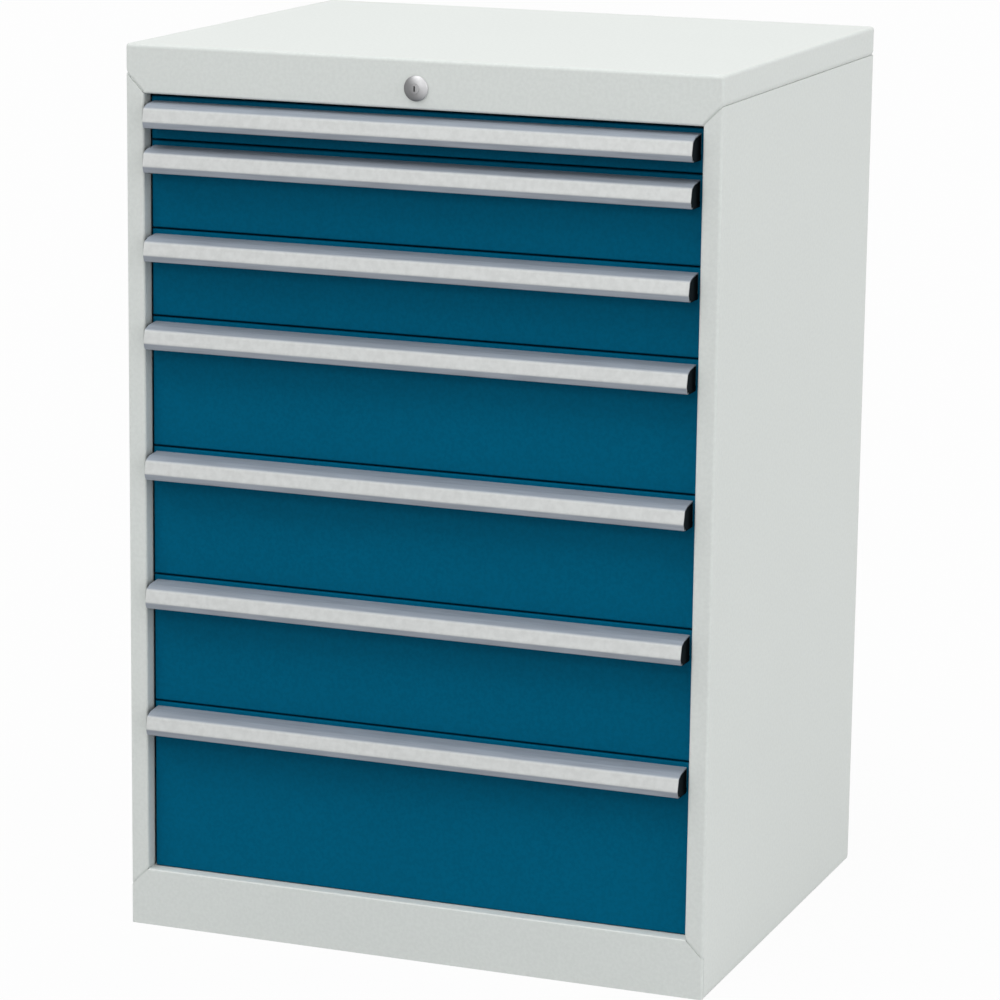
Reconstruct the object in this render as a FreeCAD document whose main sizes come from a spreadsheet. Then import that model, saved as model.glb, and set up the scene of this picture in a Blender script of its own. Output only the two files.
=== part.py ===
import FreeCAD, Part
import os
import re
import Sketcher

# Free-standing steel cabinet with seven full-width drawers, a folded housing, telescopic
# runners and a central lock. Millimetres, +Z up, the fronts face -Y. The origin lies at the
# bottom centre of the whole cabinet, handles included.

os.makedirs("parts", exist_ok=True)
doc = FreeCAD.newDocument("drawer_cabinet")

# Driving dimensions. Every one is a cell of the sheet Sizes.
SIZES = (
    ("cabinet_width", 700, "outside width of the housing"),
    ("cabinet_depth", 575, "outside depth of the housing, without handles"),
    ("plinth_height", 67.5, "front of the base, floor to opening"),
    ("fascia_height", 55, "front of the top cover, opening to top"),
    ("flange_width", 22, "face of the front frame beside the drawers"),
    ("flange_return", 18, "fold of the front frame into the opening"),
    ("hood_side", 33, "side flange of the top cover"),
    ("hood_lip", 20, "fold of the top cover that rests on the side panels"),
    ("housing_sheet", 1.5, "sheet of the housing"),
    ("housing_bend", 3, "outer radius of the housing's outer bends"),
    ("fold_bend", 2, "outer radius of the folds round the opening"),
    ("seam", 0.3, "gap between two panels that meet"),
    ("base_return", 30, "fold of the base along the floor"),
    ("back_sheet", 1.2, "sheet of the back panel"),
    ("back_fold", 15, "fold round the back panel"),
    ("drawer_height_1", 50, "pitch of the top drawer"),
    ("drawer_height_2", 100, "pitch of the second drawer"),
    ("drawer_height_3", 100, "pitch of the third drawer"),
    ("drawer_height_4", 150, "pitch of the fourth drawer"),
    ("drawer_height_5", 150, "pitch of the fifth drawer"),
    ("drawer_height_6", 150, "pitch of the sixth drawer"),
    ("drawer_height_7", 200, "pitch of the bottom drawer"),
    ("foot_gap", 0.6, "gap under the bottom drawer front"),
    ("head_gap", 2.9, "spare height above the top drawer"),
    ("front_gap", 2, "gap between two drawer fronts"),
    ("front_side_gap", 2.5, "gap beside a drawer front"),
    ("front_recess", 15, "drawer fronts behind the face of the housing"),
    ("front_thickness", 20, "depth of a drawer front"),
    ("front_sheet", 1.2, "sheet of a drawer front"),
    ("front_bend", 2, "outer radius round a drawer front"),
    ("front_lip", 12, "fold at the back of a drawer front"),
    ("box_sheet", 1, "sheet of a drawer box"),
    ("rear_space", 77, "room from a drawer box to the back panel"),
    ("box_rim", 7, "fold round the top of a drawer box"),
    ("box_below", 5, "room under a drawer box"),
    ("box_above", 9, "room over a drawer box"),
    ("seat_gap", 0.2, "gap where one piece is fixed on another"),
    ("handle_depth", 32.5, "reach of the handle from the drawer front"),
    ("handle_height", 28.2, "height of the handle"),
    ("handle_wall", 2, "wall of the handle profile"),
    ("handle_drop", 5, "handle below the top edge of the front"),
    ("handle_slope", 1.8, "fall of the handle's top towards the shoulder"),
    ("handle_shoulder", 20, "flat stretch of the handle's top"),
    ("handle_lean", 3.5, "face of the handle, set back at its top"),
    ("handle_face", 20.8, "top of the handle to the lower edge of its face"),
    ("handle_foot", 3, "handle's lower edge, set back from the face"),
    ("handle_web", 23, "height of the handle's fixing web"),
    ("handle_curl", 6, "fold under the handle's grip"),
    ("handle_end_gap", 6.5, "gap between a handle's end and the front frame"),
    ("cap_depth", 8, "reach of an end cap into the handle"),
    ("cap_fit", 0.3, "gap between an end cap and the handle round it"),
    ("runner_height", 36, "height of the fixed runner"),
    ("runner_sheet", 1.2, "sheet of the runner members"),
    ("runner_lip", 4, "lips that keep the members together"),
    ("runner_gap", 0.4, "running gap between the members"),
    ("runner_space", 20, "drawer box to the side of the opening"),
    ("runner_room", 12.8, "drawer box to the back of the fixed runner"),
    ("runner_end", 2, "runners end before the back of the box"),
    ("runner_start", 3, "runners behind the drawer front"),
    ("runner_level", 24, "middle of the runner over the drawer's lower line"),
    ("runner_flare", 2.8, "brim of the drawer member behind the lips"),
    ("hook_width", 12, "width of a hook on the fixed runner"),
    ("hook_rise", 4, "height of a hook's neck"),
    ("hook_drop", 7, "length of a hook below its neck"),
    ("hook_fit", 0.4, "gap round a hook"),
    ("post_depth", 40, "width of an upright, front to back"),
    ("post_sheet", 1.5, "sheet of the uprights"),
    ("post_front", 10, "front upright behind the drawer fronts"),
    ("post_rear", 8, "rear upright before the end of the runners"),
    ("post_top_gap", 6, "top of the uprights below the side panel's fold"),
    ("slot_height", 18, "height of the slot that takes a hook"),
    ("lock_drop", 32, "axis of the lock below the top"),
    ("lock_head", 28, "diameter of the lock's head"),
    ("lock_rise", 4.8, "height of the head's shallow cone"),
    ("lock_rim", 1.4, "straight edge round the cone"),
    ("lock_barrel", 19, "diameter of the lock's threaded barrel"),
    ("lock_length", 24, "reach of the barrel behind the fascia"),
    ("lock_fit", 0.1, "running gap round the turning plug"),
    ("plug_diameter", 11, "diameter of the turning plug"),
    ("keyway_width", 1.8, "width of the key slot"),
    ("keyway_height", 6, "height of the key slot"),
    ("keyway_depth", 12, "depth of the key slot"),
    ("nut_width", 25, "width of the lock nut over its flats"),
    ("nut_thickness", 5, "thickness of the lock nut"),
    ("shaft_diameter", 8, "diameter of the shaft from lock to crank"),
    ("crank_radius", 12, "throw of the crank"),
    ("crank_width", 14, "width of the crank arm"),
    ("crank_thickness", 4, "thickness of the crank arm"),
    ("crank_pin", 6, "diameter of the crank pin"),
    ("pin_fit", 0.6, "gap between the crank pin and its slot"),
    ("bracket_thickness", 3, "sheet of the shaft bracket"),
    ("bracket_width", 30, "width of the shaft bracket"),
    ("bar_thickness", 3, "thickness of the locking bar"),
    ("bar_width", 30, "width of the locking bar"),
    ("bar_stand", 22, "locking bar in front of the back panel"),
    ("bar_head", 12, "locking bar above the crank slot"),
    ("bar_foot", 60, "locking bar below its lowest hook"),
    ("bar_hook", 29, "reach of a locking hook"),
    ("bar_hook_width", 20, "width of a locking hook and its catch"),
    ("bar_hook_tip", 13.5, "height of a locking hook with its tip"),
    ("catch_drop", 4, "catch below the top of a drawer box"),
    ("catch_sheet", 2, "sheet of a drawer's catch"),
    ("catch_lip", 12, "height of a catch's lip"),
    ("catch_play", 7, "drawer's play before the hook holds it"),
    ("catch_clear", 0.5, "hook tip below the catch when locked"),
    ("guide_wall", 6, "material beside the bar in its guides"),
    ("guide_height", 14, "height of a bar guide"),
    ("guide_fit", 0.3, "gap between the bar and its guides"),
)

DRAWERS = (1, 2, 3, 4, 5, 6, 7)

# Places and sizes that follow from the driving dimensions. Each is a formula in the sheet
# Places. line_N is the lower line of drawer N's share of the opening. Heights start at the
# floor, and depths start at the face of the housing and grow towards the back.
PLACES = [
    ("opening_half", "cabinet_width / 2 - flange_width"),
    ("cabinet_half", "cabinet_width / 2"),
    ("line_7", "plinth_height + foot_gap - front_gap / 2"),
]
PLACES += [(f"line_{n}", f"line_{n + 1} + drawer_height_{n + 1}") for n in reversed(DRAWERS[:-1])]
PLACES += [
    ("opening_top", "line_1 + drawer_height_1 + head_gap"),
    ("cabinet_height", "opening_top + fascia_height"),
    ("hood_bottom", "cabinet_height - hood_side"),
    ("side_top", "hood_bottom - seam"),
    ("front_plane", "(handle_depth - front_recess - cabinet_depth) / 2"),
    ("inner_half", "cabinet_half - housing_sheet - seam"),
    ("inner_back", "cabinet_depth - housing_sheet - seam"),
    ("mitre_foot", "plinth_height - flange_width"),
    ("front_half", "opening_half - front_side_gap"),
    ("front_back", "front_recess + front_thickness"),
    ("box_half", "opening_half - runner_space - seat_gap"),
    ("box_front", "front_back + seat_gap"),
    ("box_back", "inner_back - back_sheet - rear_space"),
    ("handle_half", "opening_half - handle_end_gap"),
    ("runner_front", "front_back + runner_start"),
    ("runner_back", "box_back - runner_end"),
    ("runner_side", "opening_half - runner_space"),
    ("post_side", "runner_side + runner_room + seat_gap"),
    ("post_top", "side_top - housing_sheet - post_top_gap"),
    ("lock_level", "cabinet_height - lock_drop"),
    ("crank_offset", "crank_radius / sqrt(2)"),
    ("crank_lift", "2 * crank_offset"),
    ("bar_face", "inner_back - back_sheet - bar_stand - bar_thickness"),
    ("bar_middle", "(crank_radius + crank_offset) / 2"),
    ("slot_middle", "lock_level - crank_offset"),
    ("crank_back", "bar_face - guide_fit"),
    ("bracket_back", "crank_back - crank_thickness - pin_fit"),
]
PLACES += [(f"catch_{n}", f"line_{n} + drawer_height_{n} - box_above - catch_drop") for n in DRAWERS]
PLACES += [
    (f"hook_{n}", f"catch_{n} - catch_sheet - catch_clear - crank_lift - bar_hook_tip")
    for n in DRAWERS
]


def make_sheet(name, rows, as_text):
    """Write one row per value: its name, its cell with an alias, and a note."""
    sheet = doc.addObject("Spreadsheet::Sheet", name)
    for count, row in enumerate(rows):
        number = count + 1
        sheet.set(f"A{number}", row[0])
        sheet.set(f"B{number}", as_text(row[1]))
        sheet.setAlias(f"B{number}", row[0])
        if len(row) > 2:
            sheet.set(f"C{number}", row[2])
    return sheet


CELLS = {row[0]: f"Sizes.{row[0]}" for row in SIZES}
CELLS.update({row[0]: f"Places.{row[0]}" for row in PLACES})


def bound(formula):
    """The formula with every named value pointed at its cell."""
    return re.sub(r"[a-z]\w*", lambda word: CELLS.get(word.group(), word.group()), formula)


make_sheet("Sizes", SIZES, str)
places = make_sheet("Places", PLACES, lambda formula: "=" + bound(formula))
doc.recompute()


def value(formula):
    """The number that a formula has now."""
    return float(places.evalExpression(bound(formula)))


# Construction helpers. A point of an outline is a pair of formulas, and a plane is named by
# its axes: XY outlines grow along +Z, XZ outlines along +Y and YZ outlines along +X.

SUBPARTS = []


def new_body(label):
    """A body whose own origin lies on the housing's face, on the floor, in the middle."""
    body = doc.addObject("PartDesign::Body", label)
    body.Label = label
    body.setExpression("Placement.Base.y", bound("front_plane"))
    return body


def keep(shape_object, label):
    """Mark an object as a finished sub-part under its own label."""
    shape_object.Label = label
    SUBPARTS.append(shape_object)
    return shape_object


def new_sketch(body, name, plane, start):
    """An empty sketch on one of the body's own planes, moved to where the shape starts."""
    sketch = body.newObject("Sketcher::SketchObject", name)
    support = [item for item in body.Origin.OriginFeatures if item.Role == plane + "_Plane"]
    sketch.AttachmentSupport = [(support[0], "")]
    sketch.MapMode = "FlatFace"
    sign = "-" if plane == "XZ" else ""
    sketch.setExpression("AttachmentOffset.Base.z", f"{sign}({bound(start)})")
    return sketch


def pin_point(sketch, edge, end, across, up):
    """Bind one end of an edge to a pair of formulas."""
    for kind, formula in (("DistanceX", across), ("DistanceY", up)):
        rule = Sketcher.Constraint(kind, -1, 1, edge, end, value(formula))
        sketch.setExpression(f"Constraints[{sketch.addConstraint(rule)}]", bound(formula))


def add_outline(sketch, corners):
    """Add a closed outline of straight edges whose corners are bound to formulas."""
    spots = [FreeCAD.Vector(value(across), value(up), 0) for across, up in corners]
    first = sketch.GeometryCount
    count = len(corners)
    for n in range(count):
        sketch.addGeometry(Part.LineSegment(spots[n], spots[(n + 1) % count]), False)
    for n in range(count):
        follower = first + (n + 1) % count
        sketch.addConstraint(Sketcher.Constraint("Coincident", first + n, 2, follower, 1))
        pin_point(sketch, first + n, 1, *corners[n])


def add_circle(sketch, across, up, radius):
    """Add a circle whose centre and radius are bound to formulas."""
    centre = FreeCAD.Vector(value(across), value(up), 0)
    normal = FreeCAD.Vector(0, 0, 1)
    edge = sketch.addGeometry(Part.Circle(centre, normal, value(radius)), False)
    pin_point(sketch, edge, 3, across, up)
    rule = sketch.addConstraint(Sketcher.Constraint("Radius", edge, value(radius)))
    sketch.setExpression(f"Constraints[{rule}]", bound(radius))


def rectangle(low, high):
    """The corners of a rectangle from its lowest and highest corner."""
    return [low, (high[0], low[1]), high, (low[0], high[1])]


def add_solid(body, name, plane, outlines, start, length, circles=()):
    """Pad closed outlines and circles from a start plane."""
    sketch = new_sketch(body, name + "_outline", plane, start)
    for corners in outlines:
        add_outline(sketch, corners)
    for circle in circles:
        add_circle(sketch, *circle)
    pad = body.newObject("PartDesign::Pad", name)
    pad.Profile = sketch
    pad.Reversed = plane == "XZ"
    pad.setExpression("Length", bound(length))
    doc.recompute()
    return pad


def cut_solid(body, name, plane, outlines, start, length, circles=()):
    """Pocket closed outlines and circles from a start plane, the way a pad grows."""
    before = body.Shape.Volume
    sketch = new_sketch(body, name + "_outline", plane, start)
    for corners in outlines:
        add_outline(sketch, corners)
    for circle in circles:
        add_circle(sketch, *circle)
    pocket = body.newObject("PartDesign::Pocket", name)
    pocket.Profile = sketch
    pocket.Reversed = plane != "XZ"
    pocket.setExpression("Length", bound(length))
    doc.recompute()
    if not body.Shape.Volume < before:
        raise RuntimeError(f"{body.Label}: {name} cuts nothing")
    return pocket


def lies_at(item, **spot):
    """True where every corner of an edge or face has the stated coordinates."""
    return all(
        abs(getattr(corner.Point, axis) - value(formula)) < 1e-4
        for corner in item.Vertexes
        for axis, formula in spot.items()
    )


def round_edges(body, name, radius, *spots):
    """Fillet every edge that lies at one of the spots."""
    base = body.Tip
    chosen = [
        f"Edge{number}"
        for number, edge in enumerate(base.Shape.Edges, start=1)
        if any(lies_at(edge, **spot) for spot in spots)
    ]
    if not chosen:
        raise RuntimeError(f"{body.Label}: {name} finds no edge")
    fillet = body.newObject("PartDesign::Fillet", name)
    fillet.Base = (base, chosen)
    fillet.setExpression("Radius", bound(radius))
    doc.recompute()
    if not fillet.isValid():
        raise RuntimeError(f"{body.Label}: {name} fails")
    return fillet


def hollow_out(body, name, wall, *spots):
    """Turn the solid into a folded sheet, open at the faces that lie at the spots."""
    base = body.Tip
    chosen = [
        f"Face{number}"
        for number, face in enumerate(base.Shape.Faces, start=1)
        if any(lies_at(face, **spot) for spot in spots)
    ]
    shell = body.newObject("PartDesign::Thickness", name)
    shell.Base = (base, chosen)
    shell.Reversed = True
    shell.setExpression("Value", bound(wall))
    doc.recompute()
    if not shell.isValid():
        raise RuntimeError(f"{body.Label}: {name} fails")
    return shell


def mirrored(source, label):
    """The other hand of a piece, mirrored across the middle of the cabinet."""
    copy = doc.addObject("Part::Mirroring", label)
    copy.Label = label
    copy.Source = source
    copy.Normal = FreeCAD.Vector(1, 0, 0)
    return copy


def grouped(label, members):
    """Separate solids that share one sub-part."""
    group = doc.addObject("Part::Compound", label)
    group.Links = members
    return keep(group, label)


# Housing


def make_side_panels():
    """Folded pans, 22 mm deep, whose front fold frames the opening and is mitred at both ends."""
    body = new_body("side_panel_right")
    wall = rectangle(("opening_half", "0"), ("cabinet_half", "cabinet_depth"))
    add_solid(body, "wall", "XY", [wall], "0", "side_top")
    corners = [{"x": "cabinet_half", "y": "0"}, {"x": "cabinet_half", "y": "cabinet_depth"}]
    round_edges(body, "corner_bends", "housing_bend", *corners)
    hollow_out(body, "sheet", "housing_sheet", {"x": "opening_half"})
    fold = rectangle(
        ("opening_half", "0"), ("opening_half + housing_sheet", "flange_return")
    )
    add_solid(body, "return", "XY", [fold], "plinth_height", "opening_top - plinth_height")
    above = [
        ("opening_half - seam", "opening_top - 2 * seam"),
        ("cabinet_half + seam", "hood_bottom"),
        ("cabinet_half + seam", "cabinet_height"),
        ("opening_half - seam", "cabinet_height"),
    ]
    cut_solid(body, "upper_mitre", "XZ", [above], "0", "housing_sheet + seam")
    below = [
        ("opening_half - seam", "plinth_height + 2 * seam"),
        ("opening_half - seam", "-seam"),
        ("cabinet_half + seam", "-seam"),
        ("cabinet_half + seam", "mitre_foot"),
    ]
    cut_solid(body, "lower_mitre", "XZ", [below], "0", "housing_bend + 2 * seam")
    round_edges(body, "opening_bend", "fold_bend", {"x": "opening_half", "y": "0"})
    keep(body, "side_panel_right")
    keep(mirrored(body, "side_panel_left"), "side_panel_left")


def make_top_cover():
    """Hood with a deep fascia in front, shallow flanges beside and behind, folded under."""
    body = new_body("top_cover")
    outer = rectangle(("-cabinet_half", "0"), ("cabinet_half", "cabinet_depth"))
    add_solid(body, "hood", "XY", [outer], "opening_top", "fascia_height")
    round_edges(body, "top_bends", "housing_bend", {"z": "cabinet_height"})
    hollow_out(body, "sheet", "housing_sheet", {"z": "opening_top"})
    wide = "cabinet_half + seam"
    sides = [
        rectangle(("opening_half - seam", "housing_sheet"), (wide, "cabinet_depth + seam")),
        rectangle((f"-({wide})", "housing_sheet"), ("seam - opening_half", "cabinet_depth + seam")),
    ]
    cut_solid(body, "side_trim", "XY", sides, "opening_top", "hood_bottom - opening_top")
    mitres = [
        [(f"{sign}opening_half", "opening_top"), (f"{sign}cabinet_half", "hood_bottom"),
         (f"{sign}(cabinet_half + 9 * seam)", "hood_bottom"),
         (f"{sign}(cabinet_half + 9 * seam)", "opening_top - seam"),
         (f"{sign}opening_half", "opening_top - seam")]
        for sign in ("", "-")
    ]
    cut_solid(body, "mitres", "XZ", mitres, "-seam", "housing_sheet + 2 * seam")
    lip = rectangle(("seam - opening_half", "0"), ("opening_half - seam", "flange_return"))
    add_solid(body, "fascia_return", "XY", [lip], "opening_top", "housing_sheet")
    inside = "cabinet_half - housing_sheet"
    lips = [
        rectangle((f"{inside} - hood_lip", "housing_bend"), (inside, "cabinet_depth - housing_sheet")),
        rectangle((f"-({inside})", "housing_bend"), (f"hood_lip - ({inside})",
                                                      "cabinet_depth - housing_sheet")),
    ]
    add_solid(body, "side_lips", "XY", lips, "hood_bottom", "housing_sheet")
    round_edges(body, "fascia_bend", "fold_bend", {"y": "0", "z": "opening_top"})
    hole = ("0", "lock_level", "lock_barrel / 2 + seat_gap")
    cut_solid(body, "lock_hole", "XZ", [], "-seam", "housing_sheet + 2 * seam", [hole])
    keep(body, "top_cover")


def make_base():
    """Floor pan whose front fold is the plinth, as wide as the housing below its mitres."""
    body = new_body("base_pan")
    raised = "(housing_sheet + seam)"
    pan = rectangle(("-inner_half", "0"), ("inner_half", "inner_back"))
    add_solid(body, "pan", "XY", [pan], raised, f"plinth_height - {raised}")
    corners = [{"x": side, "y": "inner_back"} for side in ("-inner_half", "inner_half")]
    round_edges(body, "rear_bends", "fold_bend", *corners)
    hollow_out(body, "sheet", "housing_sheet", {"z": raised})
    end = "housing_bend + seam"
    inside = "cabinet_half - housing_sheet"
    face = [
        ("-cabinet_half", end), ("-cabinet_half", "0"), ("cabinet_half", "0"),
        ("cabinet_half", end), (inside, end), (inside, "housing_sheet"),
        (f"-({inside})", "housing_sheet"), (f"-({inside})", end),
    ]
    add_solid(body, "plinth", "XY", [face], "0", "plinth_height")
    outer = [{"x": "-cabinet_half", "y": "0"}, {"x": "cabinet_half", "y": "0"}]
    round_edges(body, "corner_bends", "housing_bend", *outer)
    inner = [{"x": inside, "y": "housing_sheet"}, {"x": f"-({inside})", "y": "housing_sheet"}]
    round_edges(body, "corner_insides", "housing_bend - housing_sheet", *inner)
    mitres = [
        [(f"{sign}opening_half", "plinth_height"), (f"{sign}cabinet_half", "mitre_foot"),
         (f"{sign}(cabinet_half + seam)", "mitre_foot"),
         (f"{sign}(cabinet_half + seam)", "plinth_height + seam"),
         (f"{sign}opening_half", "plinth_height + seam")]
        for sign in ("", "-")
    ]
    cut_solid(body, "mitres", "XZ", mitres, "-seam", "housing_bend + 3 * seam")
    foot = rectangle(
        ("seam - opening_half", "0"), ("opening_half - seam", "base_return")
    )
    add_solid(body, "foot", "XY", [foot], "0", "housing_sheet")
    round_edges(body, "opening_bend", "fold_bend", {"y": "0", "z": "plinth_height"})
    keep(body, "base_pan")


def make_back_panel():
    """Shallow folded pan that closes the back between the base and the top cover."""
    body = new_body("back_panel")
    plate = rectangle(("-inner_half", "inner_back - back_fold"), ("inner_half", "inner_back"))
    foot = "plinth_height + seam"
    height = f"side_top - housing_sheet - seam - ({foot})"
    add_solid(body, "plate", "XY", [plate], foot, height)
    corners = [{"x": side, "y": "inner_back"} for side in ("-inner_half", "inner_half")]
    round_edges(body, "fold_bends", "fold_bend", *corners)
    hollow_out(body, "sheet", "back_sheet", {"y": "inner_back - back_fold"})
    keep(body, "back_panel")


def make_uprights():
    """Slotted channels on the side panels. Each slot takes the hook of one runner."""
    posts = (
        ("front_uprights", "front_back + post_front"),
        ("rear_uprights", "runner_back - post_rear - post_depth"),
    )
    for label, near in posts:
        body = new_body(label + "_right")
        far = f"{near} + post_depth"
        channel = [
            ("post_side", near), ("inner_half", near), ("inner_half", f"{near} + post_sheet"),
            ("post_side + post_sheet", f"{near} + post_sheet"),
            ("post_side + post_sheet", f"{far} - post_sheet"),
            ("inner_half", f"{far} - post_sheet"), ("inner_half", far), ("post_side", far),
        ]
        add_solid(body, "channel", "XY", [channel], "plinth_height + seam",
                  "post_top - plinth_height - seam")
        middle = f"{near} + post_depth / 2"
        side = "(hook_width / 2 + hook_fit)"
        slots = [
            rectangle(
                (f"{middle} - {side}", f"line_{n} + runner_level - hook_fit"),
                (f"{middle} + {side}", f"line_{n} + runner_level - hook_fit + slot_height"),
            )
            for n in DRAWERS
        ]
        cut_solid(body, "slots", "YZ", slots, "post_side - seam", "post_sheet + 2 * seam")
        grouped(label, [body, mirrored(body, label + "_left")])


# Runners. Three folded members slide in each other. The fixed one hooks into the uprights,
# and the innermost one is fixed on the drawer box. x grows from the drawer box outwards.


def runner_body(label, number, corners):
    """One member: a folded section along the depth of the cabinet."""
    body = new_body(label)
    body.setExpression("Placement.Base.z", bound(f"line_{number} + runner_level"))
    moved = [(f"runner_side + {across}", up) for across, up in corners]
    add_solid(body, "member", "XZ", [moved], "runner_front", "runner_back - runner_front")
    return body


def channel_section(near, far, half, lip):
    """A channel open towards the drawer, with a lip at the end of both flanges."""
    wall = "runner_sheet"
    return [
        (near, f"-({half})"), (far, f"-({half})"), (far, half), (near, half),
        (near, f"{half} - {lip}"), (f"{near} + {wall}", f"{half} - {lip}"),
        (f"{near} + {wall}", f"{half} - {wall}"), (f"{far} - {wall}", f"{half} - {wall}"),
        (f"{far} - {wall}", f"{wall} - ({half})"), (f"{near} + {wall}", f"{wall} - ({half})"),
        (f"{near} + {wall}", f"{lip} - ({half})"), (near, f"{lip} - ({half})"),
    ]


STEP = "runner_sheet + runner_gap"
MIDDLE_HALF = f"runner_height / 2 - ({STEP})"
MIDDLE_NEAR = f"1 + {STEP}"
MIDDLE_FAR = f"runner_room - ({STEP})"
WAIST_HALF = f"{MIDDLE_HALF} - runner_lip - runner_gap"


def make_fixed_runner(number):
    """Outer member with two hooks that hang in the uprights' slots."""
    section = channel_section("1", "runner_room", "runner_height / 2", "runner_lip")
    body = runner_body(f"fixed_runner_right_{number}", number, section)
    neck = "post_side + post_sheet + hook_fit"
    tip = f"{neck} + post_sheet"
    inner = "runner_side + runner_room - runner_sheet / 2"
    hook = [
        (inner, "0"), (neck, "0"), (neck, "-hook_drop"), (tip, "-hook_drop"),
        (tip, "hook_rise"), (inner, "hook_rise"),
    ]
    front = "front_back + post_front + post_depth / 2 - hook_width / 2"
    rear = "runner_back - post_rear - post_depth / 2 - hook_width / 2"
    for name, start in (("front_hook", front), ("rear_hook", rear)):
        add_solid(body, name, "XZ", [hook], start, "hook_width")
    return body


def make_middle_runner(number):
    """Middle member, the same channel one step smaller."""
    section = channel_section(MIDDLE_NEAR, MIDDLE_FAR, MIDDLE_HALF, "runner_lip")
    return runner_body(f"middle_runner_right_{number}", number, section)


def make_drawer_runner(number):
    """Hat section on the drawer box, whose brims run behind the middle member's lips."""
    wall = "runner_sheet"
    waist = WAIST_HALF
    brim = f"{waist} + runner_flare"
    top = f"{MIDDLE_NEAR} + 2 * runner_sheet + runner_gap"
    upper = [
        ("0", waist), (f"{top} - {wall}", waist), (f"{top} - {wall}", brim), (top, brim),
        (top, f"{waist} - {wall}"), (wall, f"{waist} - {wall}"),
    ]
    lower = [(across, f"-({up})") for across, up in reversed(upper)]
    return runner_body(f"drawer_runner_right_{number}", number, upper + lower)


# Drawers


def make_drawer_front(number):
    """Folded pan with lips at the back, to which the box is fixed."""
    body = new_body(f"drawer_front_{number}")
    body.setExpression("Placement.Base.z", bound(f"line_{number} + front_gap / 2"))
    height = f"drawer_height_{number} - front_gap"
    face = rectangle(("-front_half", "0"), ("front_half", height))
    add_solid(body, "pan", "XZ", [face], "front_recess", "front_thickness")
    rim = [{"x": side, "y": "front_recess"} for side in ("-front_half", "front_half")]
    rim += [{"y": "front_recess", "z": level} for level in ("0", height)]
    round_edges(body, "face_bends", "front_bend", *rim)
    hollow_out(body, "sheet", "front_sheet", {"y": "front_back"})
    lip = "front_lip"
    window = rectangle(
        (f"{lip} - front_half", lip), (f"front_half - {lip}", f"{height} - {lip}")
    )
    add_solid(body, "lips", "XZ", [face, window], "front_back - front_sheet", "front_sheet")
    keep(body, f"drawer_front_{number}")


def make_drawer_box(number):
    """Open box with folded rims and a catch for the locking bar on its back."""
    body = new_body(f"drawer_box_{number}")
    body.setExpression("Placement.Base.z", bound(f"line_{number} + box_below"))
    height = f"drawer_height_{number} - box_below - box_above"
    outer = rectangle(("-box_half", "box_front"), ("box_half", "box_back"))
    add_solid(body, "block", "XY", [outer], "0", height)
    hollow_out(body, "sheet", "box_sheet", {"z": height})
    inner = rectangle(
        ("box_rim - box_half", "box_front + box_rim"), ("box_half - box_rim", "box_back - box_rim")
    )
    add_solid(body, "rim", "XY", [outer, inner], f"{height} - box_sheet", "box_sheet")
    top = f"{height} - catch_drop"
    lip = "bar_face - bar_hook + bar_thickness + catch_play"
    catch = [
        ("box_back - box_sheet / 2", f"{top} - catch_sheet"), (lip, f"{top} - catch_sheet"),
        (lip, f"{top} - catch_lip"), (f"{lip} + catch_sheet", f"{top} - catch_lip"),
        (f"{lip} + catch_sheet", top), ("box_back - box_sheet / 2", top),
    ]
    add_solid(body, "catch", "YZ", [catch], "bar_middle - bar_hook_width / 2", "bar_hook_width")
    keep(body, f"drawer_box_{number}")


HANDLE_OUTSIDE = [
    ("0", "0"),
    ("-handle_shoulder", "-handle_slope"),
    ("handle_lean - handle_depth", "-3 * handle_slope"),
    ("-handle_depth", "-handle_face"),
    ("handle_foot - handle_depth", "-handle_height"),
]


def place_on_front(body, number):
    """Move a body so that its origin lies at the top of the handle, on the drawer front."""
    body.setExpression("Placement.Base.y", bound("front_plane + front_recess"))
    level = f"line_{number} + drawer_height_{number} - front_gap / 2 - handle_drop"
    body.setExpression("Placement.Base.z", bound(level))


def make_handle(number):
    """Extruded grip: a fixing web, a sloping top, a leaning face and a curl for the fingers."""
    body = new_body(f"handle_{number}")
    place_on_front(body, number)
    wall = "handle_wall"
    inside = [
        ("handle_curl + handle_foot - handle_depth", "-handle_height"),
        ("handle_curl + handle_foot - handle_depth", f"{wall} - handle_height"),
        (f"{wall} + handle_foot - handle_depth", f"{wall} - handle_height"),
        (f"{wall} - handle_depth", "-handle_face"),
        (f"{wall} + handle_lean - handle_depth", f"-3 * handle_slope - {wall}"),
        ("-handle_shoulder", f"-handle_slope - {wall}"),
        (f"-{wall}", f"-{wall}"),
        (f"-{wall}", "-handle_web"),
        ("0", "-handle_web"),
    ]
    add_solid(body, "profile", "YZ", [HANDLE_OUTSIDE + inside], "-handle_half", "2 * handle_half")
    shoulder = {"y": "handle_lean - handle_depth", "z": "-3 * handle_slope"}
    round_edges(body, "shoulder_round", "2 * handle_wall", shoulder)
    foot = {"y": "handle_foot - handle_depth", "z": "-handle_height"}
    round_edges(body, "foot_round", "handle_wall", foot)
    keep(body, f"handle_{number}")


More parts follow.
